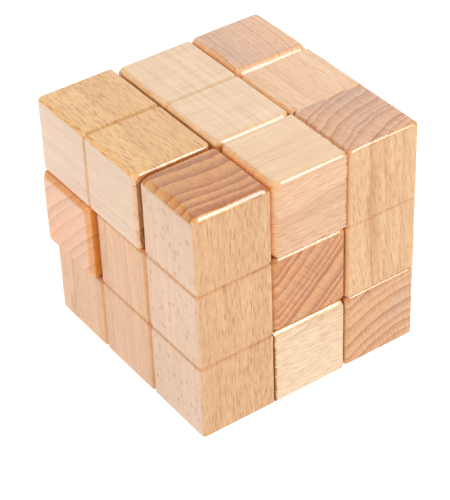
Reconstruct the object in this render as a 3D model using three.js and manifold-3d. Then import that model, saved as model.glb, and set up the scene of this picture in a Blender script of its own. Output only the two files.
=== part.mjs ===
// Wooden assembly-cube puzzle with its sliding-lid storage box.
//
// The cube is three cells on a side. Seven puzzle pieces fill it, and each piece is glued up from
// square beech sticks and blocks. A stick two or three cells long has a V-groove cut round it at
// every cell boundary. The cube stands beside its storage box: four finger-jointed walls, a let-in
// floor, a dovetailed sliding lid drawn part of the way out, and a folded leaflet on the floor.
//
// Millimetres, +Z up. The origin is the centre of the cube's underside.

import * as THREE from "three";
import { mergeVertices } from "three/addons/utils/BufferGeometryUtils.js";
import Module from "manifold-3d";

const wasm = await Module();
wasm.setup();

// ---- Driving dimensions ----

// Puzzle cube
const cellPitch = 25; // one cell of the cube
const cellsPerSide = 3;
const cellGap = 0.3; // play between neighbouring pieces
const glueLine = 0.1; // thickness of a glued joint
const closeUp = cellGap - glueLine; // how far a glued stick comes up to its neighbour
const edgeRadius = 0.9; // rounding of a stick's long edges
const endRadius = 1.2; // rounding of a stick's free ends
const grooveWidth = 1.3; // V-groove at a cell boundary, at the surface
const grooveDepth = 0.7;

// Play has left two pieces standing slightly proud of the cube, one of them glued up unevenly
const looseTwistShift = [-1.0, 1.0, 0];
const looseTeeShift = [0.5, 0.5, 0];
const unevenGlueing = -1.2;

// Storage box
const boxSide = 91; // outside, square
const boxHeight = 85.5;
const wallThickness = 6.5;
const floorThickness = 3;
const floorRebate = 3; // how far the floor is let into each wall
const runningGap = 0.15; // clearance of the floor in its rebate
const boxToCube = 75; // clear distance between the box and the cube
const boxSetBack = 5; // the box's front stands this far behind the cube's front

// Finger joints
const fingerWidth = 6.42;
const firstFinger = 3.6; // height of the lowest finger on a side wall
const fingerGap = 0.08;
const frontWallHeight = 79.0; // the lid passes over the front wall
const cutterReach = 1; // how far a cutting block runs past the wood

// Sliding lid, dovetailed on its sides and at the back
const lidUnderside = 79.4;
const lidThickness = 3.0;
const lidLand = 0.6; // square edge below the bevel
const lidBevel = 3.7; // how far the bevel runs in from the edge
const lidEngagement = 2.0; // how far the lid's edge reaches into each wall
const lidClearance = 0.35;
const lidOpening = 37.2; // how far the lid is drawn out
const fingerRecessRadius = 5.5;
const fingerRecessDepth = 1.8;
const fingerRecessInset = 15.5; // from the lid's front edge to the recess's centre

// Leaflet
const leafletWidth = 72;
const leafletDepth = 66;
const leafletThickness = 0.7;
const leafletLift = 0.3; // it doesn't lie quite flat on the floor

// ---- Materials, one per stick, because no two have the same grain ----

const beech = {
  longGrain: 0xe9bf93,
  paleGrain: 0xf1d4b5,
  pinkGrain: 0xebcab2,
  endGrain: 0xd39d77,
  wall: 0xdfa883,
  frontWall: 0xf3d9b2,
  lid: 0xf0cfb3,
};

function wood(color) {
  return new THREE.MeshStandardMaterial({ color, roughness: 0.38, metalness: 0 });
}

function paper() {
  return new THREE.MeshStandardMaterial({ color: 0xe9e6f4, roughness: 0.8, metalness: 0 });
}

// ---- Solids ----

// A closed three.js geometry as a solid for cutting and joining.
function toSolid(geometry) {
  const bare = geometry.index ? geometry.toNonIndexed() : geometry.clone();
  bare.deleteAttribute("normal");
  bare.deleteAttribute("uv");
  const merged = mergeVertices(bare, 1e-4);
  return new wasm.Manifold(
    new wasm.Mesh({
      numProp: 3,
      vertProperties: new Float32Array(merged.attributes.position.array),
      triVerts: new Uint32Array(merged.index.array),
    }),
  );
}

function toGeometry(solid) {
  const mesh = solid.getMesh();
  const geometry = new THREE.BufferGeometry();
  geometry.setAttribute("position", new THREE.BufferAttribute(mesh.vertProperties, 3));
  geometry.setIndex(new THREE.BufferAttribute(mesh.triVerts, 1));
  geometry.computeVertexNormals();
  return geometry;
}

function toMesh(name, solid, material) {
  const mesh = new THREE.Mesh(toGeometry(solid), material);
  mesh.name = name;
  return mesh;
}

// A block between two corners.
function block(low, high) {
  const size = high.map((value, axis) => value - low[axis]);
  const geometry = new THREE.BoxGeometry(...size);
  geometry.translate(...low.map((value, axis) => value + size[axis] / 2));
  return toSolid(geometry);
}

// An outline of [a, b] points drawn in the XZ plane and extruded along +Y from y0 to y1.
function extrudeAlongY(outline, y0, y1) {
  const shape = new THREE.Shape(outline.map(([x, z]) => new THREE.Vector2(x, z)));
  const geometry = new THREE.ExtrudeGeometry(shape, { depth: y1 - y0, bevelEnabled: false });
  geometry.rotateX(Math.PI / 2);
  geometry.translate(0, y1, 0);
  return toSolid(geometry);
}

// An outline of [y, z] points drawn in the YZ plane and extruded along +X from x0 to x1.
function extrudeAlongX(outline, x0, x1) {
  const shape = new THREE.Shape(outline.map(([y, z]) => new THREE.Vector2(y, z)));
  const geometry = new THREE.ExtrudeGeometry(shape, { depth: x1 - x0, bevelEnabled: false });
  geometry.rotateX(Math.PI / 2);
  geometry.rotateZ(Math.PI / 2);
  geometry.translate(x0, 0, 0);
  return toSolid(geometry);
}

// ---- Sticks of the puzzle cube ----

// A square with rounded corners, centred on the origin.
function roundedSquare(side, radius) {
  const half = side / 2;
  const corner = half - radius;
  const shape = new THREE.Shape();
  shape.absarc(corner, corner, radius, 0, Math.PI / 2);
  shape.absarc(-corner, corner, radius, Math.PI / 2, Math.PI);
  shape.absarc(-corner, -corner, radius, Math.PI, 1.5 * Math.PI);
  shape.absarc(corner, -corner, radius, 1.5 * Math.PI, 2 * Math.PI);
  return shape;
}

// Half-width of a stick along its length, from z = 0: rounded free ends, V-grooves between cells.
function stickProfile(length, startFree, endFree, grooves, half) {
  const steps = 3;
  const points = [new THREE.Vector2(0, 0)];
  const arc = (turn) => ({
    along: endRadius * (1 - Math.sin(turn)),
    inset: endRadius * (1 - Math.cos(turn)),
  });
  if (startFree) {
    for (let step = 0; step <= steps; step += 1) {
      const { along, inset } = arc((Math.PI / 2) * (1 - step / steps));
      points.push(new THREE.Vector2(half - inset, along));
    }
  } else {
    points.push(new THREE.Vector2(half, 0));
  }
  for (const groove of grooves) {
    points.push(new THREE.Vector2(half, groove - grooveWidth / 2));
    points.push(new THREE.Vector2(half - grooveDepth, groove));
    points.push(new THREE.Vector2(half, groove + grooveWidth / 2));
  }
  if (endFree) {
    for (let step = 0; step <= steps; step += 1) {
      const { along, inset } = arc((Math.PI / 2) * (step / steps));
      points.push(new THREE.Vector2(half - inset, length - along));
    }
  } else {
    points.push(new THREE.Vector2(half, length));
  }
  points.push(new THREE.Vector2(0, length));
  return points;
}

// A stick along +Z from z = 0. Four-sided turning gives the ends and grooves on all four faces,
// and the rounded square gives the long edges.
function stickSolid(length, startFree, endFree, grooves) {
  const side = cellPitch - cellGap;
  const profile = stickProfile(length, startFree, endFree, grooves, side / 2);
  for (const point of profile) {
    point.x *= Math.SQRT2;
  }
  const turned = new THREE.LatheGeometry(profile, 4, Math.PI / 4);
  turned.rotateX(Math.PI / 2);
  const section = new THREE.ExtrudeGeometry(roundedSquare(side, edgeRadius), {
    depth: length,
    bevelEnabled: false,
    curveSegments: 3,
  });
  return toSolid(turned).intersect(toSolid(section));
}

const turnTo = {
  x: new THREE.Euler(0, Math.PI / 2, 0),
  y: new THREE.Euler(-Math.PI / 2, 0, 0),
  z: new THREE.Euler(0, 0, 0),
};

// One stick or block of a puzzle piece. It fills `cells` cells from `cell`, with its grain along
// `axis`. glued lists the ends, "start" or "end", that butt against another stick of the piece.
function stick(name, axis, cell, cells, color, { glued = [], shift = [0, 0, 0] } = {}) {
  const axisIndex = ["x", "y", "z"].indexOf(axis);
  const startGlued = glued.includes("start");
  const endGlued = glued.includes("end");
  const extraStart = startGlued ? closeUp : 0;
  const extraEnd = endGlued ? closeUp : 0;
  const length = cells * cellPitch - cellGap + extraStart + extraEnd;
  const grooves = [];
  for (let boundary = 1; boundary < cells; boundary += 1) {
    grooves.push(boundary * cellPitch - cellGap / 2 + extraStart);
  }
  const solid = stickSolid(length, !startGlued, !endGlued, grooves);
  const mesh = toMesh(name, solid, wood(color));
  mesh.setRotationFromEuler(turnTo[axis]);
  const half = (cellsPerSide * cellPitch) / 2;
  const centre = cell.map((index, i) => {
    const middle = (index + 0.5) * cellPitch - (i < 2 ? half : cellGap / 2);
    return middle + shift[i];
  });
  centre[axisIndex] -= (cellPitch - cellGap) / 2 + extraStart;
  mesh.position.set(...centre);
  return mesh;
}

function group(...members) {
  const made = new THREE.Group();
  made.add(...members);
  return made;
}

// Corner post of three cells with a foot block
function postPiece() {
  return group(
    stick("l_piece_post", "z", [0, 0, 0], 3, beech.pinkGrain),
    stick("l_piece_foot_block", "x", [1, 0, 0], 1, beech.paleGrain, { glued: ["start"] }),
  );
}

// Two-cell upright, a block behind it and a block beside that, turning left
function leftTwistPiece() {
  return group(
    stick("a_piece_upright_stick", "z", [0, 1, 0], 2, beech.longGrain),
    stick("a_piece_middle_block", "z", [0, 2, 0], 1, beech.longGrain, {
      shift: [0, -closeUp, 0],
    }),
    stick("a_piece_end_block", "x", [1, 2, 0], 1, beech.paleGrain, {
      glued: ["start"],
      shift: [0, -closeUp, 0],
    }),
  );
}

// Two-cell top stick glued across a second two-cell stick
function rightTwistPiece() {
  const [x, y] = looseTwistShift;
  return group(
    stick("b_piece_top_stick", "y", [0, 1, 2], 2, beech.longGrain, { shift: looseTwistShift }),
    stick("b_piece_cross_stick", "x", [0, 2, 1], 2, beech.endGrain, {
      shift: [x + unevenGlueing, y, closeUp],
    }),
  );
}

// Two sticks stepped one above the other, through the middle of the cube
function stepPiece() {
  return group(
    stick("z_piece_lower_stick", "y", [1, 0, 1], 2, beech.endGrain, {
      shift: [0, 0, closeUp],
    }),
    stick("z_piece_upper_stick", "y", [1, 1, 2], 2, beech.paleGrain),
  );
}

// Two-cell upright with a block on two of its faces
function cornerPiece() {
  return group(
    stick("p_piece_upright_stick", "z", [2, 0, 1], 2, beech.longGrain),
    stick("p_piece_front_block", "x", [1, 0, 2], 1, beech.paleGrain, { glued: ["end"] }),
    stick("p_piece_side_block", "y", [2, 1, 2], 1, beech.paleGrain, { glued: ["start"] }),
  );
}

// Three cells in an angle, the smallest piece
function anglePiece() {
  return group(
    stick("v_piece_base_stick", "y", [2, 0, 0], 2, beech.endGrain),
    stick("v_piece_side_block", "x", [1, 1, 0], 1, beech.paleGrain, { glued: ["end"] }),
  );
}

// Three-cell post with a block on its middle
function teePiece() {
  return group(
    stick("t_piece_post", "z", [2, 2, 0], 3, beech.endGrain, { shift: looseTeeShift }),
    stick("t_piece_middle_block", "y", [2, 1, 1], 1, beech.longGrain, {
      glued: ["end"],
      shift: looseTeeShift,
    }),
  );
}

// ---- Storage box, in its own coordinates: front left corner of its underside at the origin ----

// Section of the lid, or of the channel cut for it when grown by a clearance
function lidOutline(low, high, grow, slopeLow, slopeHigh) {
  const bottom = lidUnderside - (grow > 0 ? runningGap : 0);
  const landTop = lidUnderside + lidLand + grow / 2;
  const top = lidUnderside + lidThickness;
  const over = grow > 0 ? lidThickness * 2 : 0; // the channel runs on up past the wall's top
  const slope = lidBevel / (lidThickness - lidLand);
  const bevelAt = (z) => slope * (z - landTop);
  const topEdge = top + over;
  const points = [
    [low - grow, bottom],
    [high + grow, bottom],
  ];
  if (slopeHigh) {
    points.push([high + grow, landTop], [high + grow - bevelAt(topEdge), topEdge]);
  } else {
    points.push([high + grow, topEdge]);
  }
  if (slopeLow) {
    points.push([low - grow + bevelAt(topEdge), topEdge], [low - grow, landTop]);
  } else {
    points.push([low - grow, topEdge]);
  }
  return points;
}

function lidShape(front, grow) {
  const edge = wallThickness - lidEngagement;
  const back = boxSide - edge;
  const across = lidOutline(edge, boxSide - edge, grow, true, true);
  const along = lidOutline(front, back, grow, false, true);
  const reach = boxSide * 2;
  return extrudeAlongY(across, -reach, reach).intersect(extrudeAlongX(along, -reach, reach));
}

// The heights at which a corner belongs to the side wall
function sideWallFingers(top) {
  const bands = [];
  for (let low = firstFinger; low < top; low += 2 * fingerWidth) {
    bands.push([low, Math.min(low + fingerWidth, top)]);
  }
  return bands;
}

// The heights between those bands, which belong to the front or back wall
function crossWallFingers(sideBands, top) {
  const edges = [-cutterReach, ...sideBands.flat(), top + cutterReach];
  const bands = [];
  for (let i = 0; i < edges.length; i += 2) {
    bands.push([edges[i], edges[i + 1]]);
  }
  return bands.filter(([low]) => low < top);
}

// Notches across one corner of the box, over the given heights
function notch(wall, bands, xRange, yRange) {
  let cut = wall;
  for (const [low, high] of bands) {
    const lowCorner = [xRange[0], yRange[0], low - fingerGap];
    const highCorner = [xRange[1], yRange[1], high + fingerGap];
    cut = cut.subtract(block(lowCorner, highCorner));
  }
  return cut;
}

// One wall's thickness at the low or high end of the box, and past its outside
const lowEnd = [-cutterReach, wallThickness + fingerGap];
const highEnd = [boxSide - wallThickness - fingerGap, boxSide + cutterReach];

// A side wall: full length, notched at both ends where the front and back walls come through
function sideWall(x0, cutters) {
  const end = x0 === 0 ? lowEnd : highEnd;
  const frontBands = crossWallFingers(sideWallFingers(frontWallHeight), frontWallHeight);
  frontBands.at(-1)[1] = frontWallHeight; // above it the side wall runs on to the front
  const backBands = crossWallFingers(sideWallFingers(boxHeight), boxHeight);
  const plain = block([x0, 0, 0], [x0 + wallThickness, boxSide, boxHeight]);
  const shaped = cutters.reduce((wall, cutter) => wall.subtract(cutter), plain);
  return notch(notch(shaped, frontBands, end, lowEnd), backBands, end, highEnd);
}

// The front or back wall, notched at both ends where the side walls' fingers come through
function crossWall(y0, height, cutters) {
  const end = y0 === 0 ? lowEnd : highEnd;
  const bands = sideWallFingers(height);
  const plain = block([0, y0, 0], [boxSide, y0 + wallThickness, height]);
  const shaped = cutters.reduce((wall, cutter) => wall.subtract(cutter), plain);
  return notch(notch(shaped, bands, lowEnd, end), bands, highEnd, end);
}

// The lid, drawn out, with a shallow round recess for a finger
function drawnLid() {
  const recess = new THREE.CylinderGeometry(
    fingerRecessRadius,
    fingerRecessRadius - fingerRecessDepth / 2,
    fingerRecessDepth * 2,
    32,
  );
  recess.rotateX(Math.PI / 2);
  const recessY = fingerRecessInset - lidOpening;
  recess.translate(boxSide / 2, recessY, lidUnderside + lidThickness);
  return lidShape(0, 0).translate([0, -lidOpening, 0]).subtract(toSolid(recess));
}

function floorBoard() {
  const inset = wallThickness - floorRebate + runningGap;
  return block([inset, inset, 0], [boxSide - inset, boxSide - inset, floorThickness]);
}

// The leaflet lies near the back wall
function leaflet() {
  const x0 = (boxSide - leafletWidth) / 2;
  const y0 = boxSide - 2 * wallThickness - leafletDepth;
  const z0 = floorThickness + leafletLift;
  return block([x0, y0, z0], [x0 + leafletWidth, y0 + leafletDepth, z0 + leafletThickness]);
}

function storageBox() {
  const channel = lidShape(-boxSide, lidClearance);
  const rebateLow = wallThickness - floorRebate;
  const rebateHigh = boxSide - rebateLow;
  const rebate = block(
    [rebateLow, rebateLow, -cutterReach],
    [rebateHigh, rebateHigh, floorThickness + runningGap],
  );
  const cutters = [channel, rebate];
  const farWall = boxSide - wallThickness;
  const box = group(
    toMesh("box_left_wall", sideWall(0, cutters), wood(beech.wall)),
    toMesh("box_right_wall", sideWall(farWall, cutters), wood(beech.wall)),
    toMesh("box_front_wall", crossWall(0, frontWallHeight, cutters), wood(beech.frontWall)),
    toMesh("box_back_wall", crossWall(farWall, boxHeight, cutters), wood(beech.frontWall)),
    toMesh("box_floor", floorBoard(), wood(beech.paleGrain)),
    toMesh("sliding_lid", drawnLid(), wood(beech.lid)),
    toMesh("folded_leaflet", leaflet(), paper()),
  );
  const half = (cellsPerSide * cellPitch) / 2;
  box.position.set(-half - boxToCube - boxSide, -half + boxSetBack, 0);
  return box;
}

// ---- The whole product ----

export default group(
  postPiece(),
  leftTwistPiece(),
  rightTwistPiece(),
  stepPiece(),
  cornerPiece(),
  anglePiece(),
  teePiece(),
  storageBox(),
);
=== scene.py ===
"""Looks of the beech assembly-cube puzzle and its sliding-lid storage box.

Every stick of the puzzle is a lofted mesh in the space of its CAD node, and one solid-wood shader
gives each of them its own cut of the log. Lengths are in metres unless a comment says mm.
"""

import math

import bpy
from mathutils import Matrix, Vector, noise


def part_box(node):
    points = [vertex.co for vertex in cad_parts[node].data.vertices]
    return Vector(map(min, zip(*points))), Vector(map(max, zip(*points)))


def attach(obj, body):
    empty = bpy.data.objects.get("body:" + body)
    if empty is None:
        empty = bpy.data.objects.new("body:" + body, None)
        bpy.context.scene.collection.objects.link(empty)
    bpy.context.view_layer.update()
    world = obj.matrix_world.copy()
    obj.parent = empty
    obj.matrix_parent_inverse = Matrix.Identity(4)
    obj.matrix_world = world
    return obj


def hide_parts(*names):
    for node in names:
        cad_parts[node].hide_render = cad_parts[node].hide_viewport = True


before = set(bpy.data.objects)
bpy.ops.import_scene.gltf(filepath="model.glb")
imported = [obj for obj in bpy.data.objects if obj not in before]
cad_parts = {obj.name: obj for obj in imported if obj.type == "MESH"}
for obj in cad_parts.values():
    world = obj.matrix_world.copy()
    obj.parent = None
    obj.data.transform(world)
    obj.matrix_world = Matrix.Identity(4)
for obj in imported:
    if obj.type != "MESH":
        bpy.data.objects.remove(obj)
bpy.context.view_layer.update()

MM = 0.001
FAR = 1000.0  # mm, beyond anything here
AXES = {"x": Vector((1, 0, 0)), "y": Vector((0, 1, 0)), "z": Vector((0, 0, 1))}


# ---- Node wiring ----

PIGMENT_SHARE = 1.0  # of a change in shade, as more or less of the wood's own colour
PLAIN_SHARE = 0.3  # of a change in shade, alike in red, green and blue


class Graph:
    """Short ways of adding nodes to one node tree. Each returns an output socket."""

    def __init__(self, tree):
        self.tree = tree

    def node(self, kind, **settings):
        made = self.tree.nodes.new(kind)
        for name, value in settings.items():
            setattr(made, name, value)
        return made

    def feed(self, socket, value):
        if isinstance(value, bpy.types.NodeSocket):
            self.tree.links.new(value, socket)
        else:
            socket.default_value = value

    def feed_all(self, sockets, values):
        for socket, value in zip(sockets, values):
            self.feed(socket, value)

    def math(self, operation, *values):
        made = self.node("ShaderNodeMath", operation=operation)
        self.feed_all(made.inputs, values)
        return made.outputs[0]

    def add(self, first, second):
        return self.math("ADD", first, second)

    def times(self, first, second):
        return self.math("MULTIPLY", first, second)

    def vector_math(self, operation, first, second):
        made = self.node("ShaderNodeVectorMath", operation=operation)
        self.feed_all(made.inputs, (first, second))
        return made.outputs[0]

    def combine(self, x, y, z):
        made = self.node("ShaderNodeCombineXYZ")
        self.feed_all(made.inputs, (x, y, z))
        return made.outputs[0]

    def separate(self, vector):
        made = self.node("ShaderNodeSeparateXYZ")
        self.feed(made.inputs[0], vector)
        return made.outputs[0], made.outputs[1], made.outputs[2]

    def scaled(self, vector, x, y, z):
        return self.vector_math("MULTIPLY", vector, (x, y, z))

    def noise(self, vector, detail=2.0, roughness=0.5):
        """Noise from 0 to 1 about 0.5, with features one unit of the vector across."""
        made = self.node("ShaderNodeTexNoise")
        self.feed(made.inputs["Vector"], vector)
        self.feed(made.inputs["Scale"], 1.0)
        self.feed(made.inputs["Detail"], detail)
        self.feed(made.inputs["Roughness"], roughness)
        return made.outputs["Fac"]

    def log_noise(self, place, across, along, detail=2.0, roughness=0.5):
        """Noise from -0.5 to 0.5, with features so many mm across the grain and along it."""
        stretched = self.scaled(place, 1 / across, 1 / across, 1 / along)
        return self.math("SUBTRACT", self.noise(stretched, detail, roughness), 0.5)

    def line_noise(self, place):
        """Noise from -0.5 to 0.5 along a line, with features one unit long."""
        made = self.node("ShaderNodeTexNoise", noise_dimensions="1D")
        self.feed(made.inputs["W"], place)
        self.feed(made.inputs["Scale"], 1.0)
        self.feed(made.inputs["Detail"], 1.0)
        return self.math("SUBTRACT", made.outputs["Fac"], 0.5)

    def chance(self, number):
        """A random number from 0 to 1 for each whole number."""
        made = self.node("ShaderNodeTexWhiteNoise", noise_dimensions="1D")
        self.feed(made.inputs["W"], number)
        return made.outputs["Value"]

    def cells(self, vector):
        """Distance to the nearest of one point a unit cell, and that point's random colour."""
        made = self.node("ShaderNodeTexVoronoi", feature="F1")
        self.feed(made.inputs["Vector"], vector)
        self.feed(made.inputs["Scale"], 1.0)
        return made.outputs["Distance"], made.outputs["Color"]

    def ramp(self, value, low, high, to_low=0.0, to_high=1.0):
        """A smooth step from to_low to to_high as value goes from low to high."""
        made = self.node("ShaderNodeMapRange", interpolation_type="SMOOTHSTEP")
        self.feed_all(made.inputs, (value, low, high, to_low, to_high))
        return made.outputs[0]

    def mix(self, share, first, second, blend="MIX"):
        made = self.node("ShaderNodeMix", data_type="RGBA", blend_type=blend)
        self.feed(made.inputs[0], share)
        self.feed_all([s for s in made.inputs if s.type == "RGBA"], (first, second))
        return next(s for s in made.outputs if s.type == "RGBA")

    def tinted(self, colour, share, tint):
        """The colour with a share of it seen through a tint."""
        return self.mix(share, colour, self.mix(1.0, colour, tint, "MULTIPLY"))

    def warm_shade(self, colour, change):
        """The colour lighter or darker by a share, and most so in the channels that the wood
        absorbs, so that it is warmer where it is darker."""
        pigment = self.math("MULTIPLY_ADD", change, -PIGMENT_SHARE, 1.0)
        plain = self.math("MULTIPLY_ADD", change, PLAIN_SHARE, 1.0)
        channels = [self.times(self.math("POWER", channel, pigment), plain)
                    for channel in self.separate(colour)]
        return self.combine(*channels)

    def burial(self, place, low, high):
        """How deep a place lies inside a box, in the box's units."""
        above = self.vector_math("SUBTRACT", place, low)
        below = self.vector_math("SUBTRACT", high, place)
        x, y, z = self.separate(self.vector_math("MINIMUM", above, below))
        return self.math("MINIMUM", self.math("MINIMUM", x, y), z)

    def bump(self, height, distance, strength=1.0):
        made = self.node("ShaderNodeBump")
        self.feed(made.inputs["Strength"], strength)
        self.feed(made.inputs["Distance"], distance)
        self.feed(made.inputs["Height"], height)
        return made.outputs[0]


# ---- Making materials, meshes and objects ----

def linear(red, green, blue):
    """An sRGB colour, 0 to 255, as the linear colour that shaders take."""
    def channel(value):
        share = value / 255
        return share / 12.92 if share <= 0.04045 else ((share + 0.055) / 1.055) ** 2.4
    return (channel(red), channel(green), channel(blue), 1.0)


def new_material(name):
    """A material, the Graph of its nodes, and its shader."""
    material = bpy.data.materials.new(name)
    material.use_nodes = True
    tree = material.node_tree
    return material, Graph(tree), tree.nodes["Principled BSDF"]


def set_constants(shader, settings):
    for name, value in settings.items():
        shader.inputs[name].default_value = value


def smooth(mesh):
    for polygon in mesh.polygons:
        polygon.use_smooth = True


def add_mesh(name, verts, faces):
    mesh = bpy.data.meshes.new(name)
    mesh.from_pydata(verts, [], faces)
    mesh.update()
    return mesh


def add_object(name, data):
    made = bpy.data.objects.new(name, data)
    bpy.context.scene.collection.objects.link(made)
    return made


# ---- Solid beech ----
#
# The wood is worked out in the log's own frame, in mm: +X away from the pith, +Y along the rings
# and +Z along the grain. "Cut" is the surface's normal in that frame, so a face knows whether it
# shows end grain, a flat-sawn face or a quarter-sawn one.

LATE_TINT = (0.66, 0.47, 0.33, 1.0)
RAY_TINT = (0.61, 0.34, 0.07, 1.0)
SPOT_TINT = (0.83, 0.66, 0.53, 1.0)
WARM_TINT = (1.0, 0.96, 0.90, 1.0)
GROOVE_TINT = (0.92, 0.78, 0.56, 1.0)
# Painted bounce light: the orange put on the sides of the narrow gaps between pieces
PAINTED_GAP_BOUNCE_TINT = (0.92, 0.60, 0.31)
GLUE_TINT = (0.60, 0.33, 0.12, 1.0)

RING_DRIFT = 5.0  # mm that the rings drift slowly along the log
RING_RIPPLE = 1.6  # mm that they ripple
RAY_SPACING = 0.19  # mm around the pith
RAY_HEIGHT = 4.0  # mm along the grain
SPOT_DEPTH = 4.0  # mm into the quarter-sawn face
SPOT_HEIGHT = 2.8  # mm along the grain
BAND_SIZE = (26, 3, 2.2)  # mm outward, along the rings and along the grain
PAINTED_BOUNCE_START = (1.0, 2.0)  # mm below the outer faces, where the painted bounce light of the gaps comes in
PAINTED_BOUNCE_END = (2.2, 3.8)  # mm below them, where it goes
GLUE_RAGGEDNESS = 1.8  # mm
LOG_STEP = 37.0  # mm along the log, from one place where a piece may be cut to the next
LOG_PLACES = 29

INPUTS = (
    ("Place", "NodeSocketVector"),
    ("Cut", "NodeSocketVector"),
    ("End grain", "NodeSocketColor"),
    ("Flat sawn", "NodeSocketColor"),
    ("Quarter sawn", "NodeSocketColor"),
    ("Ring spacing", "NodeSocketFloat"),
    ("Ring strength", "NodeSocketFloat"),
    ("Side rings", "NodeSocketFloat"),
    ("Ring waviness", "NodeSocketFloat"),
    ("Ray strength", "NodeSocketFloat"),
    ("Ray length", "NodeSocketFloat"),
    ("Spot strength", "NodeSocketFloat"),
    ("Spot width", "NodeSocketFloat"),
    ("Spot scarcity", "NodeSocketFloat"),
    ("Figure strength", "NodeSocketFloat"),
    ("Edge lacquer and painted sheen", "NodeSocketColor"),
    ("Edge", "NodeSocketFloat"),
    ("Groove", "NodeSocketFloat"),
    ("Burial", "NodeSocketFloat"),
    ("Painted gap bounce", "NodeSocketColor"),
    ("Glue distance", "NodeSocketFloat"),
)
OUTPUTS = (
    ("Color", "NodeSocketColor"),
    ("Roughness", "NodeSocketFloat"),
    ("Height", "NodeSocketFloat"),
)


def ring_radius(g, given):
    """Distance from the pith, as the wandering growth rings measure it."""
    place = given["Place"]
    x, y, _ = g.separate(place)
    drift = g.log_noise(place, 16, 70)
    ripple = g.log_noise(place, 5, 28, 1.0)
    wander = g.add(g.times(drift, RING_DRIFT), g.times(ripple, RING_RIPPLE))
    radius = g.math("SQRT", g.add(g.times(x, x), g.times(y, y)))
    return g.add(radius, g.times(wander, given["Ring waviness"]))


def late_wood(g, given, radius):
    """How dark a ring is: it darkens slowly outwards, ends in a thin line and starts again. The
    rings are of uneven width, and some are stronger than others."""
    rings = g.math("DIVIDE", radius, given["Ring spacing"])
    rings = g.add(rings, g.times(g.line_noise(g.times(rings, 0.45)), 1.3))
    phase = g.math("FRACT", rings)
    vigour = g.ramp(g.chance(g.math("FLOOR", rings)), 0.0, 1.0, 0.45, 1.0)
    restart = g.ramp(phase, 0.96, 1.0, 1.0, 0.0)
    fade = g.times(g.ramp(phase, 0.1, 0.97), restart)
    line = g.times(g.ramp(phase, 0.84, 0.95), restart)
    return g.times(g.add(g.times(fade, 0.6), g.times(line, 0.5)), vigour)


def medullary_rays(g, given, radius):
    """Thin upright lenses that run out from the pith, of several sizes and depths of colour."""
    x, y, z = g.separate(given["Place"])
    around = g.times(g.math("ARCTAN2", y, x), radius)
    outward = g.math("DIVIDE", x, given["Ray length"])
    lens = g.combine(g.times(around, 1 / RAY_SPACING), outward, g.times(z, 1 / RAY_HEIGHT))
    distance, colour = g.cells(lens)
    size, depth, _ = g.separate(colour)
    rim = g.ramp(size, 0.0, 1.0, 0.30, 0.62)
    ray = g.ramp(g.math("DIVIDE", distance, rim), 0.45, 1.0, 1.0, 0.0)
    return g.times(ray, g.ramp(depth, 0.0, 1.0, 0.35, 1.0))


def oval_spots(g, given):
    """The oval spots that rays leave here and there on a quarter-sawn face."""
    x, y, z = g.separate(given["Place"])
    across = g.math("DIVIDE", x, given["Spot width"])
    oval = g.combine(across, g.times(y, 1 / SPOT_DEPTH), g.times(z, 1 / SPOT_HEIGHT))
    distance, colour = g.cells(oval)
    luck, _, _ = g.separate(colour)
    rim = g.ramp(luck, given["Spot scarcity"], 1.0, 0.02, 0.54)
    return g.ramp(g.math("DIVIDE", distance, rim), 0.15, 1.0, 1.0, 0.0)


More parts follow.
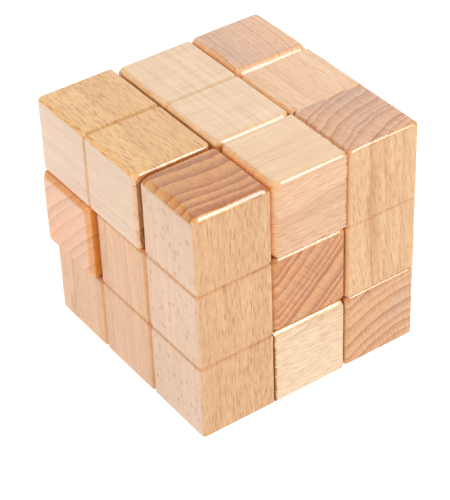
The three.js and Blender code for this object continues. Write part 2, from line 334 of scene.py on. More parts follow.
def solid_beech():
    """The node group that every wooden piece's material uses."""
    tree = bpy.data.node_groups.new("solid_beech", "ShaderNodeTree")
    for name, kind in INPUTS:
        tree.interface.new_socket(name, in_out="INPUT", socket_type=kind)
    for name, kind in OUTPUTS:
        tree.interface.new_socket(name, in_out="OUTPUT", socket_type=kind)
    g = Graph(tree)
    given = g.node("NodeGroupInput").outputs
    place = given["Place"]
    flat, quarter, end = (g.times(part, part) for part in g.separate(given["Cut"]))

    # The three cuts, and the growth rings on each
    wood = g.mix(flat, given["Quarter sawn"], given["Flat sawn"])
    wood = g.mix(end, wood, given["End grain"])
    radius = ring_radius(g, given)
    on_sides = g.add(g.times(flat, 0.5), g.times(quarter, 0.3))
    rings_shown = g.add(g.times(end, given["Ring strength"]),
                        g.times(on_sides, given["Side rings"]))
    late = g.math("MINIMUM", g.times(late_wood(g, given, radius), rings_shown), 1.0)
    wood = g.tinted(wood, late, LATE_TINT)

    # The rays: dashes on flat-sawn faces, lines on end grain, spots and cross bands on quarter-sawn
    ray = medullary_rays(g, given, radius)
    rays_shown = g.add(flat, g.times(end, 0.7))
    wood = g.tinted(wood, g.times(g.times(ray, rays_shown), given["Ray strength"]), RAY_TINT)
    spot = g.times(oval_spots(g, given), quarter)
    wood = g.tinted(wood, g.times(spot, given["Spot strength"]), SPOT_TINT)
    bands = g.noise(g.scaled(place, *(1 / size for size in BAND_SIZE)), 1.0)
    figure = g.times(g.math("SUBTRACT", bands, 0.5), quarter)
    figure = g.times(figure, given["Figure strength"])

    # The vessels: fine streaks on long faces, specks on end grain
    vessels = g.log_noise(place, 0.22, 3.4, 2.0, 0.6)
    streaks = g.log_noise(place, 1.3, 26)
    blotch = g.log_noise(place, 9, 24)
    shade = g.add(g.times(vessels, 0.42), g.times(streaks, 0.38))
    shade = g.add(shade, g.add(g.times(blotch, 0.12), g.times(figure, 0.22)))
    wood = g.warm_shade(wood, shade)
    wood = g.tinted(wood, g.ramp(blotch, -0.25, 0.25, 0.0, 0.5), WARM_TINT)
    # Eased edges: partly the lacquer's tint, partly painted sheen that lightens them
    wood = g.tinted(wood, given["Edge"], given["Edge lacquer and painted sheen"])

    # Painted bounce light: the sides of the narrow gaps are tinted orange, the way light bouncing
    # from one lacquered face to the other colours them
    inside = g.ramp(given["Burial"], *PAINTED_BOUNCE_START)
    inside = g.times(inside, g.ramp(given["Burial"], *PAINTED_BOUNCE_END, 1.0, 0.05))
    wood = g.tinted(wood, inside, given["Painted gap bounce"])

    # A bead of glue, squeezed out unevenly
    bead = g.times(g.log_noise(place, 1.1, 1.1, 2.0, 0.6), GLUE_RAGGEDNESS)
    bead = g.add(given["Glue distance"], bead)
    wood = g.tinted(wood, g.ramp(bead, 0.1, 0.4, 1.0, 0.0), GLUE_TINT)

    # The saw has torn the edges of the V-grooves
    tear = g.log_noise(place, 0.55, 0.45, 1.0)
    torn = g.times(given["Groove"], g.add(1.0, g.times(tear, 3.4)))
    torn = g.ramp(torn, 0.03, 0.6)
    wood = g.tinted(wood, torn, GROOVE_TINT)
    fibres = g.times(tear, torn)
    wood = g.warm_shade(wood, g.times(fibres, 0.9))

    # Relief, in mm
    sanding = g.log_noise(place, 6, 9, 1.0)
    height = g.add(g.times(vessels, 0.012), g.times(ray, -0.005))
    height = g.add(height, g.times(sanding, 0.05))
    height = g.add(height, g.times(late, -0.006))
    height = g.add(height, g.times(fibres, 0.12))
    gloss = g.add(0.40, g.times(vessels, 0.25))
    gloss = g.add(gloss, g.times(given["Groove"], 0.15))
    given_back = g.node("NodeGroupOutput")
    g.feed_all(given_back.inputs, (wood, gloss, height))
    return tree


BEECH = solid_beech()


def name_number(name):
    """A whole number that goes with a name, so that every piece varies in its own way."""
    return sum(map(ord, name))


def log_frame(grain, pith, lean):
    """Rotation from the row frame to the log's frame. The rows of the matrix point outward from the
    pith, along the rings and along the grain."""
    outward = -Vector(pith)
    outward -= grain * outward.dot(grain)
    outward.normalize()
    tilt = Matrix.Rotation(math.radians(lean), 3, outward)
    along = tilt @ grain
    ringward = along.cross(outward)
    return Matrix((outward, ringward, along))


def wood_material(name, grain, centre, pith, reach, spacing, colours, rings=1.0, side_rings=1.0,
                  waves=1.0, rays=1.0, ray_length=12.0, spots=(0.0, 3.0, 0.0), figure=0.6,
                  edge=(1.15, 1.0, 0.75), lean=1.0, coat=0.7, outside=None, painted_gap_bounce=PAINTED_GAP_BOUNCE_TINT,
                  glue=None):
    """Lacquered beech cut from its own place in a log.

    grain is the axis the fibres run along and centre a point of the piece. pith points from there
    to the middle of the log, reach mm away. colours are end grain, flat sawn and quarter sawn.
    spacing is the rings' width in mm, rings and side_rings say how dark they are on end grain and
    on the long faces, and waves how much they wander. rays says how dark the rays are, and
    ray_length how far they run outward, in mm. spots are the strength, the width in mm and the
    scarcity, up to 1, of the quarter-sawn face's spots, and figure is the strength of its cross
    bands. edge tints the eased edges: partly the lacquer, which lies thicker there, and partly
    painted sheen that lightens them. lean is the slope of the grain in degrees. outside holds the
    low and the high limits, in mm, of the piece where they are on the outside of the whole object,
    and far values elsewhere, and painted_gap_bounce is the colour of the painted bounce light on
    its sides just within them. glue is (axis, place), in mm, of a joint with a visible bead.
    """
    material, g, shader = new_material(name)
    turn = log_frame(AXES[grain], pith, lean)
    angles = turn.to_euler("XYZ")
    offset = Vector((reach, 0, LOG_STEP * (name_number(name) % LOG_PLACES)))
    coordinates = g.node("ShaderNodeTexCoord").outputs
    row = g.scaled(coordinates["Object"], 1 / MM, 1 / MM, 1 / MM)
    to_log = g.node("ShaderNodeMapping", vector_type="POINT")
    g.feed(to_log.inputs["Vector"], row)
    g.feed(to_log.inputs["Rotation"], angles)
    g.feed(to_log.inputs["Location"], offset - turn @ (Vector(centre) / MM))
    cut = g.node("ShaderNodeMapping", vector_type="VECTOR")
    g.feed(cut.inputs["Vector"], coordinates["Normal"])
    g.feed(cut.inputs["Rotation"], angles)
    burial = g.burial(row, *outside) if outside else 0.0
    glue_distance = FAR
    if glue:
        axis, joint = glue
        along = g.separate(row)["xyz".index(axis)]
        glue_distance = g.math("ABSOLUTE", g.math("SUBTRACT", along, joint))
    wood = g.node("ShaderNodeGroup", node_tree=BEECH)
    end, flat, quarter = (linear(*colour) for colour in colours)
    for socket, value in (
        ("Place", to_log.outputs[0]),
        ("Cut", cut.outputs[0]),
        ("End grain", end),
        ("Flat sawn", flat),
        ("Quarter sawn", quarter),
        ("Ring spacing", spacing),
        ("Ring strength", rings),
        ("Side rings", side_rings),
        ("Ring waviness", waves),
        ("Ray strength", rays),
        ("Ray length", ray_length),
        ("Spot strength", spots[0]),
        ("Spot width", spots[1]),
        ("Spot scarcity", spots[2]),
        ("Figure strength", figure),
        ("Edge lacquer and painted sheen", (*edge, 1.0)),
        ("Edge", g.node("ShaderNodeAttribute", attribute_name="edge").outputs["Fac"]),
        ("Groove", g.node("ShaderNodeAttribute", attribute_name="groove").outputs["Fac"]),
        ("Burial", burial),
        ("Painted gap bounce", (*painted_gap_bounce, 1.0)),
        ("Glue distance", glue_distance),
    ):
        g.feed(wood.inputs[socket], value)
    height = wood.outputs["Height"]
    g.feed(shader.inputs["Base Color"], wood.outputs["Color"])
    g.feed(shader.inputs["Roughness"], wood.outputs["Roughness"])
    g.feed(shader.inputs["Normal"], g.bump(height, MM))
    g.feed(shader.inputs["Coat Normal"], g.bump(height, MM, 0.4))
    set_constants(shader, {
        "IOR": 1.45,
        "Specular IOR Level": 0.4,
        "Coat Weight": coat,
        "Coat Roughness": 0.14,
        "Coat IOR": 1.5,
    })
    return material


# ---- Stick meshes ----
#
# Sizes here are in mm.

CELL_PITCH = 25.0
EDGE_RADIUS = 0.85
END_RADIUS = 1.1
GLUED_END_RADIUS = 0.12
CRISP_RADIUS = 0.5  # on edges that were hardly sanded
CHAMFER = 0.75  # 0 is a round edge, 1 a flat chamfer
GROOVE_WIDTH = 1.7
GROOVE_DEPTH = 0.32
GROOVE_RINGS = (-0.86, -0.5, -0.12, 0.12, 0.5, 0.86)  # in half widths from the middle
CORNER_STEPS = 6
SIDE_STEPS = 8
END_STEPS = 6
RING_STEP = 1.6  # along the stick, from one ring of vertices to the next
HAND_SANDING = 0.16  # share by which the roundings vary along an edge
SWAY_ALONG = 7.0  # how far apart they differ, along an edge
SWAY_ACROSS = 5.0  # and across an end


def eased(turn):
    """A point of an eased edge, from (1, 0) at turn 0 to (0, 1) at a quarter turn: part round and
    part flat chamfer, the way a sander leaves it."""
    share = turn / (math.pi / 2)
    return Vector((
        (1 - CHAMFER) * math.cos(turn) + CHAMFER * (1 - share),
        (1 - CHAMFER) * math.sin(turn) + CHAMFER * share,
    ))


def band(share):
    """How much lacquer tint and painted sheen of an eased edge a place has: none at shares 0 and 1.
    """
    return min(1.0, 1.6 * math.sin(math.pi * share))


def section(half_u, half_v, radii):
    """Points of a square with eased corners, anticlockwise, and how far each is into a corner."""
    points = []
    signs = ((1, 1), (-1, 1), (-1, -1), (1, -1))
    turns = [math.pi / 2 * step / CORNER_STEPS for step in range(CORNER_STEPS + 1)]
    corners = []
    for corner, ((sign_u, sign_v), radius) in enumerate(zip(signs, radii)):
        middle = Vector((sign_u * (half_u - radius), sign_v * (half_v - radius)))
        quarter = Matrix.Rotation(corner * math.pi / 2, 2)
        corners.append([middle + radius * (quarter @ eased(turn)) for turn in turns])
    for corner, arc in enumerate(corners):
        points += [(point, band(turn / (math.pi / 2))) for point, turn in zip(arc, turns)]
        after = corners[(corner + 1) % 4][0]
        for step in range(1, SIDE_STEPS):
            share = 0.5 - 0.5 * math.cos(math.pi * step / SIDE_STEPS)
            points.append((arc[-1].lerp(after, share), 0.0))
    return points


def ring_stations(length, start_radius, end_radius, grooves):
    """(place along the stick, inset, part) for every ring. Inset is a share of the groove's depth
    or of the end's radius."""
    turns = [math.pi / 2 * step / END_STEPS for step in range(END_STEPS + 1)]
    start = [(start_radius * (1 - eased(turn).y), 1 - eased(turn).x) for turn in turns]
    stations = [(place, inset, "start") for place, inset in reversed(start)]
    marks = [start_radius]
    for groove in grooves:
        marks += [groove - GROOVE_WIDTH / 2, groove + GROOVE_WIDTH / 2]
    marks.append(length - end_radius)
    for low, high in zip(marks[::2], marks[1::2]):
        steps = max(2, round((high - low) / RING_STEP))
        first = 1 if low == marks[0] else 0
        last = steps if high == marks[-1] else steps + 1
        for step in range(first, last):
            stations.append((low + (high - low) * step / steps, 0.0, "body"))
        if high != marks[-1]:
            for share in GROOVE_RINGS:
                place = high + GROOVE_WIDTH / 2 * (1 + share)
                stations.append((place, 1 - abs(share), "groove"))
    for turn in turns:
        place = length - end_radius * (1 - eased(turn).y)
        stations.append((place, 1 - eased(turn).x, "end"))
    return stations


def corner_radii(edges, place, seed):
    """The roundings of the four long edges at a place along the stick, as a hand sands them. The
    step of 9.7 only keeps the noise of one edge apart from the next."""
    radii = []
    for corner, radius in enumerate(edges):
        sway = noise.noise(seed + Vector((corner * 9.7, 0, place / SWAY_ALONG)))
        radii.append(radius * (1 + HAND_SANDING * sway))
    return radii


def end_depth(side, across, part, radius, wane, flush, end_shares, seed):
    """How far one side of an end is eased at a place across the stick. The steps of 5.3 and 31
    keep its noise apart from that of the other sides and of the long edges."""
    if (part, side) in flush:
        return 0.0
    sway = noise.noise(seed + Vector((side * 5.3, across / SWAY_ACROSS, 31.0)))
    depth = radius * (1 + HAND_SANDING * sway)
    if part == "end":
        depth *= end_shares[side]
    if wane and (part, side) == wane[:2]:
        _, _, where, width, extra = wane
        depth += extra * math.exp(-((across - where) / width) ** 2)
    return depth


def loft(rings):
    """Faces that join rings of vertex numbers, with a cap on the first and the last."""
    faces = []
    count = len(rings[0])
    for lower, upper in zip(rings, rings[1:]):
        for index in range(count):
            after = (index + 1) % count
            faces.append((lower[index], lower[after], upper[after], upper[index]))
    faces.append(tuple(reversed(rings[0])))
    faces.append(tuple(rings[-1]))
    return faces


def stick_piece(name, axis, glued=(), wane=None, flush=(), ends=(END_RADIUS, END_RADIUS),
                edges=(EDGE_RADIUS,) * 4, end_shares=(1, 1, 1, 1), groove_depth=GROOVE_DEPTH,
                edge_share=0.85):
    """A lofted stick in the space of CAD node `name`: eased edges and ends, V-grooves at cells.

    Sides 0 to 3 face +u, +v, -u and -v, where u, v and the axis follow each other as x, y and z do.
    edges are the roundings of the long edges at (+u, +v), (-u, +v), (-u, -v) and (+u, -v), and ends
    those of the start and the end. glued ends stay square, and so do the (end, side) pairs in
    flush. end_shares scale the easing of the end's four sides. wane is (end, side, place, width,
    extra), for a side of an end that was sanded harder in one place. edge_share is how much of the
    edge's lacquer tint and painted sheen the long edges have.
    """
    low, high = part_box(name)
    order = {"x": (1, 2, 0), "y": (2, 0, 1), "z": (0, 1, 2)}[axis]
    half_u, half_v, half_length = ((high[i] - low[i]) / MM / 2 for i in order)
    length = 2 * half_length
    middle = (low + high) / 2
    cells = round(length / CELL_PITCH)
    grooves = [length * boundary / cells for boundary in range(1, cells)]
    radius_of = {
        "start": GLUED_END_RADIUS if "start" in glued else ends[0],
        "end": GLUED_END_RADIUS if "end" in glued else ends[1],
    }
    seed = Vector((name_number(name) * 0.731, len(name) * 3.17, 0.0))
    verts, groove_shares, edge_shares, rings = [], [], [], []
    for place, inset, part in ring_stations(length, radius_of["start"], radius_of["end"], grooves):
        ring = []
        for point, into_corner in section(half_u, half_v, corner_radii(edges, place, seed)):
            in_groove = part == "groove"
            depth_u = depth_v = inset * groove_depth if in_groove else inset
            if part in radius_of:
                side_u = 0 if point.x > 0 else 2
                side_v = 1 if point.y > 0 else 3
                facts = (part, radius_of[part], wane, flush, end_shares, seed)
                depth_u *= end_depth(side_u, point.y, *facts)
                depth_v *= end_depth(side_v, point.x, *facts)
            local = (point.x * (1 - depth_u / half_u) * MM,
                     point.y * (1 - depth_v / half_v) * MM,
                     (place - length / 2) * MM)
            spot = Vector((0, 0, 0))
            for index, value in zip(order, local):
                spot[index] = value
            ring.append(len(verts))
            verts.append(middle + spot)
            groove_shares.append(inset * groove_depth / GROOVE_DEPTH if in_groove else 0.0)
            # How much of the eased edges' lacquer tint and painted sheen each vertex takes
            rounding = band(inset) if part in radius_of else 0.0
            edge_shares.append(max(into_corner * edge_share, rounding))
        rings.append(ring)
    mesh = add_mesh(name + "_wood", verts, loft(rings))
    smooth(mesh)
    for label, values in (("groove", groove_shares), ("edge", edge_shares)):
        attribute = mesh.attributes.new(label, "FLOAT", "POINT")
        attribute.data.foreach_set("value", values)
    piece = add_object(name + "_wood", mesh)
    normals = piece.modifiers.new("flat faces stay flat", "WEIGHTED_NORMAL")
    normals.keep_sharp = True
    return piece


# ---- The puzzle's sixteen sticks ----
#
# Every entry holds the body and the slot of a stick, and settings of stick_piece and wood_material.
# Colours are sRGB, 0 to 255. own_faces is for a stick that stands proud of the cube: its outer
# limits are its own faces. edge tints the eased edges, partly with the lacquer's colour and partly
# with painted sheen, and painted_gap_bounce is painted bounce light on the sides of the gaps.

SHAPE_KEYS = ("glued", "wane", "flush", "ends", "edges", "end_shares", "groove_depth", "edge_share")
WOOD_KEYS = ("pith", "reach", "spacing", "colours", "rings", "side_rings", "waves", "rays",
             "ray_length", "spots", "figure", "edge", "lean", "painted_gap_bounce", "glue")

STICKS = {
    "l_piece_post": dict(
        axis="z", body="l_piece", slot="beech_pink", pith=(0.06, 1, 0), reach=120, spacing=4.3,
        colours=((212, 148, 84), (212, 165, 117), (223, 195, 167)), rings=3.0, side_rings=0.5,
        rays=1.0, waves=0.45, ray_length=2.6, spots=(0.9, 2.1, -0.4), figure=0.3,
        ends=(CRISP_RADIUS, 1.7), edges=(0.7, 0.75, 0.75, 0.7), end_shares=(0.7, 0.5, 0.9, 1.0),
        edge=(1.2, 1.08, 0.78), wane=("end", 2, -2.0, 6.0, 1.2), edge_share=0.3,
    ),
    "l_piece_foot_block": dict(
        axis="x", body="l_piece", slot="beech_pale", pith=(0, 1, -0.2), reach=90, spacing=5.0,
        colours=((214, 170, 128), (231, 203, 169), (236, 204, 164)), rings=0.5, rays=0.9,
        glued=("start",), edges=(0.85, 1.5, CRISP_RADIUS, CRISP_RADIUS), edge=(1.05, 1.0, 0.85),
        glue=("x", -12.4),
    ),
    "a_piece_upright_stick": dict(
        axis="z", body="a_piece", slot="beech_long_grain", pith=(1, 0.5, 0), reach=110, spacing=3.4,
        colours=((208, 156, 118), (227, 189, 144), (228, 192, 156)), rings=0.8, rays=0.55,
        ends=(CRISP_RADIUS, END_RADIUS), edge=(1.1, 0.90, 0.62),
    ),
    "a_piece_middle_block": dict(
        axis="z", body="a_piece", slot="beech_long_grain", pith=(1, -0.3, 0), reach=90, spacing=4.0,
        colours=((208, 156, 118), (232, 192, 143), (228, 192, 156)), rings=0.8, rays=0.6,
        ends=(CRISP_RADIUS, END_RADIUS), edge=(1.1, 0.90, 0.62),
    ),
    "a_piece_end_block": dict(
        axis="x", body="a_piece", slot="beech_pale", pith=(0, 0.6, 1), reach=80, spacing=3.2,
        colours=((212, 164, 124), (230, 192, 150), (232, 200, 164)), glued=("start",),
    ),
    "b_piece_top_stick": dict(
        axis="y", body="b_piece", slot="beech_long_grain", pith=(0.25, 0, -1), reach=100,
        spacing=7.0, colours=((208, 156, 112), (235, 186, 118), (229, 208, 183)), rings=0.8,
        rays=1.6, side_rings=0.55, waves=0.7, figure=0.3, ends=(0.9, 0.9),
        edges=(CRISP_RADIUS, EDGE_RADIUS, EDGE_RADIUS, 1.0), edge=(1.3, 1.26, 1.08),
    ),
    "b_piece_cross_stick": dict(
        axis="x", body="b_piece", slot="beech_end_grain", pith=(0, -0.7, -0.7), reach=190,
        spacing=3.6, colours=((238, 198, 163), (224, 170, 112), (228, 184, 140)), rings=0.75,
        waves=0.3, rays=0.25, ends=(1.4, 0.95), edge=(1.15, 0.93, 0.62), own_faces=True,
        painted_gap_bounce=(1.15, 0.66, 0.14),
    ),
    "z_piece_lower_stick": dict(
        axis="y", body="z_piece", slot="beech_end_grain", pith=(-0.66, 0, 0.75), reach=85,
        spacing=2.9, colours=((209, 151, 99), (224, 176, 130), (228, 188, 146)), rings=2.2,
        rays=0.75, waves=0.45, ends=(1.15, END_RADIUS), edge=(1.1, 0.95, 0.66),
    ),
    "z_piece_upper_stick": dict(
        axis="y", body="z_piece", slot="beech_pale", pith=(-1, 0, 0.15), reach=130, spacing=3.0,
        colours=((214, 166, 128), (232, 200, 160), (235, 200, 163)), rings=0.3, rays=0.9,
        figure=1.4, ends=(1.35, 1.2), edges=(CRISP_RADIUS, EDGE_RADIUS, EDGE_RADIUS, 1.2),
        edge=(1.3, 1.22, 1.02), groove_depth=0.18,
    ),
    "p_piece_upright_stick": dict(
        axis="z", body="p_piece", slot="beech_long_grain", pith=(0.34, -0.94, 0), reach=92,
        spacing=2.7, colours=((214, 171, 140), (219, 175, 125), (218, 176, 132)), rings=1.3,
        side_rings=1.35, rays=0.9, waves=0.8, lean=-6.5, flush=(("end", 1),),
        ends=(CRISP_RADIUS, 0.95), groove_depth=0.24,
    ),
    "p_piece_front_block": dict(
        axis="x", body="p_piece", slot="beech_pale", pith=(0, 1, -0.25), reach=110, spacing=4.5,
        colours=((214, 164, 122), (222, 178, 141), (237, 200, 160)), rings=0.7, rays=0.9,
        glued=("end",), ends=(1.9, 1.9), edges=(CRISP_RADIUS, 0.9, 0.8, 0.8),
        edge=(1.25, 1.15, 0.95), glue=("x", 12.4),
    ),
    "p_piece_side_block": dict(
        axis="y", body="p_piece", slot="beech_pale", pith=(0.4, 0, -1), reach=100, spacing=4.0,
        colours=((212, 164, 124), (237, 193, 151), (232, 192, 150)), rings=0.6, rays=0.8,
        glued=("start",),
    ),
    "v_piece_base_stick": dict(
        axis="y", body="v_piece", slot="beech_end_grain", pith=(0.26, 0, -0.97), reach=42,
        spacing=3.9, colours=((208, 165, 131), (224, 180, 138), (228, 188, 148)), rings=1.3,
        waves=0.5, ends=(1.0, END_RADIUS), edges=(0.85, 0.5, 0.5, 0.85),
    ),
    "v_piece_side_block": dict(
        axis="x", body="v_piece", slot="beech_pale", pith=(0, 0.3, 1), reach=100, spacing=3.5,
        colours=((212, 164, 124), (230, 192, 150), (232, 200, 164)), glued=("end",),
    ),
    "t_piece_post": dict(
        axis="z", body="t_piece", slot="beech_end_grain", pith=(-1, 0.07, 0), reach=150,
        spacing=1.5, colours=((213, 172, 142), (226, 182, 140), (230, 190, 150)), rings=0.8,
        rays=0.3, waves=0.35, ends=(CRISP_RADIUS, 2.0), end_shares=(0.6, 0.6, 0.5, 1.0),
        wane=("end", 2, -1.0, 4.2, 1.9), edge=(1.35, 1.25, 1.05),
    ),
    "t_piece_middle_block": dict(
        axis="y", body="t_piece", slot="beech_long_grain", pith=(-1, 0, 0.5), reach=90, spacing=3.2,
        colours=((212, 164, 124), (226, 186, 146), (230, 196, 158)), glued=("end",),
    ),
}


NEAR_A_FACE = 2.0  # mm


def outer_limits(low, high, own_faces):
    """The cube's outer faces that a piece reaches, in mm, or the piece's own faces there if
    own_faces. The others are moved far away."""
    reach = 1.5 * CELL_PITCH
    lows = [(value / MM if own_faces else face) if value / MM < face + NEAR_A_FACE else -FAR
            for value, face in zip(low, (-reach, -reach, 0))]
    highs = [(value / MM if own_faces else face) if value / MM > face - NEAR_A_FACE else FAR
             for value, face in zip(high, (reach, reach, 3 * CELL_PITCH))]
    return lows, highs


def chosen(settings, keys):
    """The settings that are among the keys."""
    return {key: settings[key] for key in keys if key in settings}


def puzzle_cube():
    for node, cut in STICKS.items():
        piece = stick_piece(node, cut["axis"], **chosen(cut, SHAPE_KEYS))
        low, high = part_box(node)
        outside = outer_limits(low, high, cut.get("own_faces", False))
        material = wood_material(node + "_beech", cut["axis"], (low + high) / 2,
                                 outside=outside, **chosen(cut, WOOD_KEYS))
        piece.data.materials.append(material)
        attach(piece, cut["body"])
        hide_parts(node)


puzzle_cube()


# ---- Storage box ----

BOX_EDGE_WIDTH = 0.3  # mm
BOX_COAT = 0.35  # the box is only thinly oiled


def crisp_edges(piece):
    """Modifiers that round a CAD node's edges a little. Its own mesh stays as it is."""
    weld = piece.modifiers.new("weld", "WELD")
    weld.merge_threshold = 0.01 * MM
    plain = piece.modifiers.new("whole faces", "DECIMATE")
    plain.decimate_type = "DISSOLVE"
    plain.angle_limit = math.radians(1)
    bevel = piece.modifiers.new("eased edges", "BEVEL")
    bevel.width = BOX_EDGE_WIDTH * MM
    bevel.segments = 2
    bevel.limit_method = "ANGLE"
    bevel.angle_limit = math.radians(25)
    normals = piece.modifiers.new("flat faces stay flat", "WEIGHTED_NORMAL")
    normals.keep_sharp = False


BOX_SIDE_COLOURS = ((186, 122, 86), (226, 166, 122), (230, 176, 128))
BOX_FRONT_COLOURS = ((212, 162, 116), (246, 217, 172), (246, 214, 166))
# The lid's end grain is beech end grain darkened further with painted shade, for its bevelled ends
LID_COLOURS = ((158, 108, 66), (236, 198, 166), (238, 200, 168))

BOX = {
    "box_left_wall": dict(
        grain="y", pith=(1, 0, 0.35), reach=60, spacing=5.0, colours=BOX_SIDE_COLOURS,
        side_rings=0.8, waves=0.6),
    "box_right_wall": dict(
        grain="y", pith=(-1, 0, 0.3), reach=64, spacing=5.4, colours=BOX_SIDE_COLOURS,
        side_rings=0.8, waves=0.6),
    "box_front_wall": dict(
        grain="x", pith=(0, 1, 0.25), reach=75, spacing=4.6, colours=BOX_FRONT_COLOURS,
        side_rings=0.3, waves=0.7),
    "box_back_wall": dict(
        grain="x", pith=(0, 1, -0.3), reach=70, spacing=4.8, colours=BOX_FRONT_COLOURS,
        side_rings=0.4, waves=0.7),
    "box_floor": dict(
        grain="x", pith=(0, 0.3, -1), reach=80, spacing=4.2, colours=BOX_FRONT_COLOURS,
        side_rings=0.6),
    "sliding_lid": dict(
        grain="x", pith=(0, 1, -0.9), reach=80, spacing=3.0, colours=LID_COLOURS,
        side_rings=1.3, waves=0.35),
}
BOX_WALLS = ("box_left_wall", "box_right_wall", "box_front_wall", "box_back_wall")
PAINTED_BOUNCE_DEPTH = 5.0  # mm below the box's outside, where the painted warm bounce light on its inner faces begins


def box_limits():
    """The box's outside, in mm, drawn in by the depth where painted bounce light warms its inner
    faces.
    """
    boxes = [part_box(name) for name in BOX_WALLS]
    lows = [min(low[i] for low, _ in boxes) / MM + PAINTED_BOUNCE_DEPTH for i in range(3)]
    highs = [max(high[i] for _, high in boxes) / MM - PAINTED_BOUNCE_DEPTH for i in range(3)]
    lows[2] = -FAR
    return lows, highs


def storage_box():
    for name, cut in BOX.items():
        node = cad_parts[name]
        low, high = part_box(name)
        # The walls' inner faces take the painted bounce light of the gaps, which warms them
        outside = box_limits() if name in BOX_WALLS else None
        material = wood_material(name + "_beech", centre=(low + high) / 2, coat=BOX_COAT,
                                 outside=outside, **cut)
        node.data.materials.clear()
        node.data.materials.append(material)
        for polygon in node.data.polygons:
            polygon.material_index = 0
        smooth(node.data)
        crisp_edges(node)


storage_box()


# ---- Leaflet ----

PAPER_THICKNESS = 0.10  # mm
FOLDS_ACROSS = 3
LAYER_STEPS = 16
FOLD_STEPS = 6
LEAFLET_ROWS = 14


def paper_material():
    material, g, shader = new_material("leaflet_paper")
    coordinates = g.node("ShaderNodeTexCoord").outputs["Object"]
    fibres = g.noise(g.scaled(coordinates, 2600, 900, 2600), 3.0)
    clouds = g.noise(g.scaled(coordinates, 60, 60, 60))
    tone = g.mix(g.ramp(clouds, 0.35, 0.65), linear(236, 234, 244), linear(246, 244, 248))
    tone = g.mix(g.ramp(fibres, 0.4, 0.8, 0.0, 0.25), tone, linear(222, 218, 232))
    g.feed(shader.inputs["Base Color"], tone)
    g.feed(shader.inputs["Normal"], g.bump(fibres, 0.05 * MM))
    set_constants(shader, {"Roughness": 0.75, "Specular IOR Level": 0.3})
    return material


def folded_path(width, thick):
    """(across, up) points in mm of the paper's mid line, to and fro with round folds."""
    lift = (thick - PAPER_THICKNESS) / FOLDS_ACROSS
    bend = lift / 2
    path = []
    for layer in range(FOLDS_ACROSS + 1):
        height = PAPER_THICKNESS / 2 + layer * lift
        ends = (bend, width - bend) if layer % 2 == 0 else (width - bend, bend)
        for step in range(LAYER_STEPS + 1):
            path.append((ends[0] + (ends[1] - ends[0]) * step / LAYER_STEPS, height))
        if layer < FOLDS_ACROSS:
            side = 1 if layer % 2 == 0 else -1
            for step in range(1, FOLD_STEPS):
                turn = math.pi * step / FOLD_STEPS
                path.append((ends[1] + side * bend * math.sin(turn),
                             height + bend * (1 - math.cos(turn))))
    return path


def leaflet_piece():
    """A sheet folded in four, one layer on the other, with round folds at the sides."""
    low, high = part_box("folded_leaflet")
    path = folded_path((high.x - low.x) / MM, (high.z - low.z) / MM)
    verts, faces = [], []
    for row in range(LEAFLET_ROWS + 1):
        y = low.y + (high.y - low.y) * row / LEAFLET_ROWS
        verts += [(low.x + across * MM, y, low.z + up * MM) for across, up in path]
    count = len(path)
    for row in range(LEAFLET_ROWS):
        for index in range(count - 1):
            first = row * count + index
            faces.append((first, first + 1, first + 1 + count, first + count))
    mesh = add_mesh("leaflet_paper", verts, faces)
    smooth(mesh)
    mesh.materials.append(paper_material())
    piece = add_object("leaflet_folded", mesh)
    sheet = piece.modifiers.new("paper", "SOLIDIFY")
    sheet.thickness = PAPER_THICKNESS * MM
    sheet.offset = 0
    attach(piece, "leaflet")
    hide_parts("folded_leaflet")


leaflet_piece()


# ---- Floor and light ----

FLOOR_HALF = 6.0
FLOOR_DROP = 0.2 * MM  # keeps the floor clear of the undersides
WORLD_STRENGTH = 0.54
WHITE = (1, 1, 1, 1)
LIGHT_AIM = Vector((0, 0, 0.035))
SOFTBOXES = {  # direction from the aim, distance, width, height, power
    "front_softbox": ((0.444, -0.607, 0.659), 0.9, 0.21, 0.21, 3.1),
    "left_softbox": ((-0.76, -0.15, 0.63), 1.0, 0.5, 0.5, 2.6),
    "back_softbox": ((0.444, 0.659, 0.607), 1.0, 0.7, 0.5, 1.2),
}


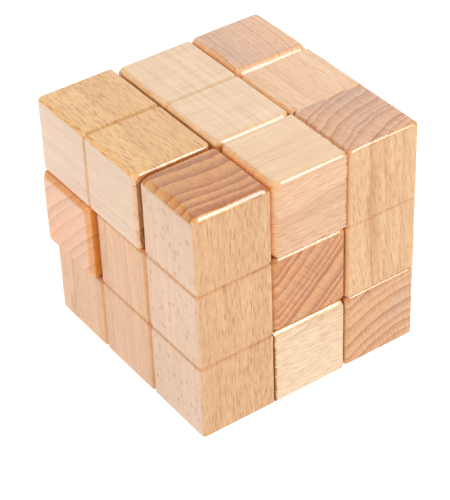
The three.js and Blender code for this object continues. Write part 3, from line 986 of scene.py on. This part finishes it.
def studio_floor():
    """A white floor that glows a little, as a light table does."""
    corners = ((-1, -1), (1, -1), (1, 1), (-1, 1))
    verts = [(x * FLOOR_HALF, y * FLOOR_HALF, -FLOOR_DROP) for x, y in corners]
    floor = add_object("studio_floor", add_mesh("studio_floor", verts, [(0, 1, 2, 3)]))
    material, _, shader = new_material("white_floor")
    set_constants(shader, {
        "Base Color": (0.55, 0.55, 0.55, 1),
        "Roughness": 0.8,
        "Specular IOR Level": 0.1,
        "Emission Color": WHITE,
        "Emission Strength": 0.8,
    })
    floor.data.materials.append(material)


def softbox(name, direction, distance, width, height, power):
    lamp = bpy.data.lights.new(name, "AREA")
    lamp.shape = "RECTANGLE"
    lamp.size = width
    lamp.size_y = height
    lamp.energy = power
    holder = add_object(name, lamp)
    away = Vector(direction).normalized()
    holder.location = LIGHT_AIM + away * distance
    holder.rotation_mode = "QUATERNION"
    holder.rotation_quaternion = away.to_track_quat("Z", "Y")
    holder.visible_camera = False


def studio_light():
    world = bpy.data.worlds.new("studio")
    world.use_nodes = True
    background = world.node_tree.nodes["Background"]
    set_constants(background, {"Color": WHITE, "Strength": WORLD_STRENGTH})
    bpy.context.scene.world = world
    for name, settings in SOFTBOXES.items():
        softbox(name, *settings)


# ---- Camera, where the photograph was taken from ----

CAMERA_AZIMUTH = -33.94  # degrees
CAMERA_ELEVATION = 37.36  # degrees
CAMERA_ROLL = -2.37  # degrees
CAMERA_DISTANCE = 0.5370
CAMERA_AIM = Vector((-0.0049, -0.0033, 0.0301))
CAMERA_LENS = 134.77  # mm
CAMERA_SENSOR = 36.0  # mm


def camera():
    data = bpy.data.cameras.new("camera")
    data.sensor_width = CAMERA_SENSOR
    data.lens = CAMERA_LENS
    data.clip_start = 0.02
    data.clip_end = 60.0
    holder = add_object("camera", data)
    azimuth, elevation = math.radians(CAMERA_AZIMUTH), math.radians(CAMERA_ELEVATION)
    back = Vector((math.sin(azimuth) * math.cos(elevation),
                   -math.cos(azimuth) * math.cos(elevation),
                   math.sin(elevation)))
    right = Vector((0, 0, 1)).cross(back).normalized()
    up = back.cross(right)
    level = Matrix((right, up, back)).transposed()
    roll = Matrix.Rotation(math.radians(CAMERA_ROLL), 3, back)
    holder.matrix_world = Matrix.Translation(CAMERA_AIM + back * CAMERA_DISTANCE) @ (
        (roll @ level).to_4x4())
    bpy.context.scene.camera = holder


studio_floor()
studio_light()
camera()
bpy.context.scene.view_settings.view_transform = "Standard"
